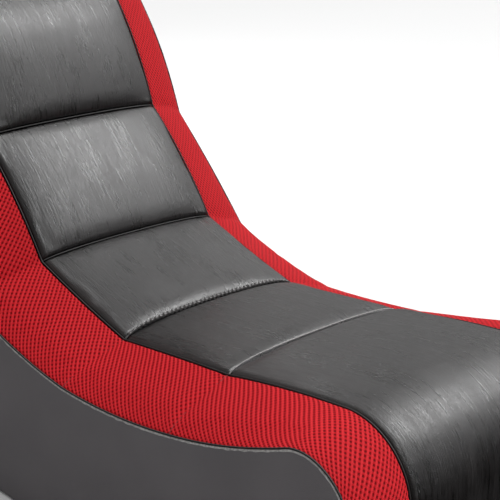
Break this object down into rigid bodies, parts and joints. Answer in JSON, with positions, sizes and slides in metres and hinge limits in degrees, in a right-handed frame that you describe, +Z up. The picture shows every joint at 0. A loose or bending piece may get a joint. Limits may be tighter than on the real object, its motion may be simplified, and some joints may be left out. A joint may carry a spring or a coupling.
{
  "type": "gaming rocker chair",
  "caption": "Armless S-shaped floor rocker chair for gaming: channelled black leather seat and back, red mesh side bands, grey vinyl side panels, plywood frame on a curved base.",
  "frame": {"origin": "on the floor under the middle of the chair's overall length and width, where its rockers rest", "axes": "+Z up, the seat faces -Y, +X is the sitter's left"},
  "size_m": [0.43, 0.9544, 0.7689],
  "materials": {
    "black_leather": "satin",
    "red_mesh": "matte",
    "grey_vinyl": "matte",
    "plywood": "matte",
    "foam": "matte",
    "webbing": "matte",
    "floor_strip": "matte",
    "dust_cloth": "matte",
    "zip_tape": "matte",
    "zip_metal": "satin"
  },
  "bodies": {
    "shell": {"back_core": "foam", "back_cover": "grey_vinyl", "back_webbing": "webbing", "base_cover": "dust_cloth", "base_front_rail": "plywood", "base_rear_rail": "plywood", "corner_blocks": "plywood", "floor_strip_left": "floor_strip", "floor_strip_right": "floor_strip", "front_seat_rail": "plywood", "head_cushion": "black_leather", "head_rail": "plywood", "heel_cover": "grey_vinyl", "heel_rail": "plywood", "hip_cushion": "black_leather", "lumbar_cushion": "black_leather", "lumbar_rail": "plywood", "mesh_band_left": "red_mesh", "mesh_band_right": "red_mesh", "mid_back_cushion": "black_leather", "mid_back_rail": "plywood", "nose_cushion": "black_leather", "rear_seat_rail": "plywood", "seat_core": "foam", "seat_cushion": "black_leather", "seat_webbing": "webbing", "shoulder_cushion": "black_leather", "shoulder_rail": "plywood", "side_board_left": "plywood", "side_board_right": "plywood", "side_cover_left": "grey_vinyl", "side_cover_right": "grey_vinyl", "toe_rail": "plywood", "zip_stops": "zip_metal", "zip_tape_lower": "zip_tape", "zip_tape_upper": "zip_tape"},
    "slider": {"zip_slider": "zip_metal"},
    "pull": {"zip_pull": "zip_metal"}
  },
  "joints": [
    {"name": "zip_slide", "type": "slide", "parent": "shell", "child": "slider", "axis": [1, 0, 0], "range_m": [0, 0.2993]},
    {"name": "zip_pull_swing", "type": "hinge", "parent": "slider", "child": "pull", "pos_m": [-0.14965, 0.2779, 0.2088], "axis": [1, 0, 0], "range_deg": [-10, 150]}
  ]
}
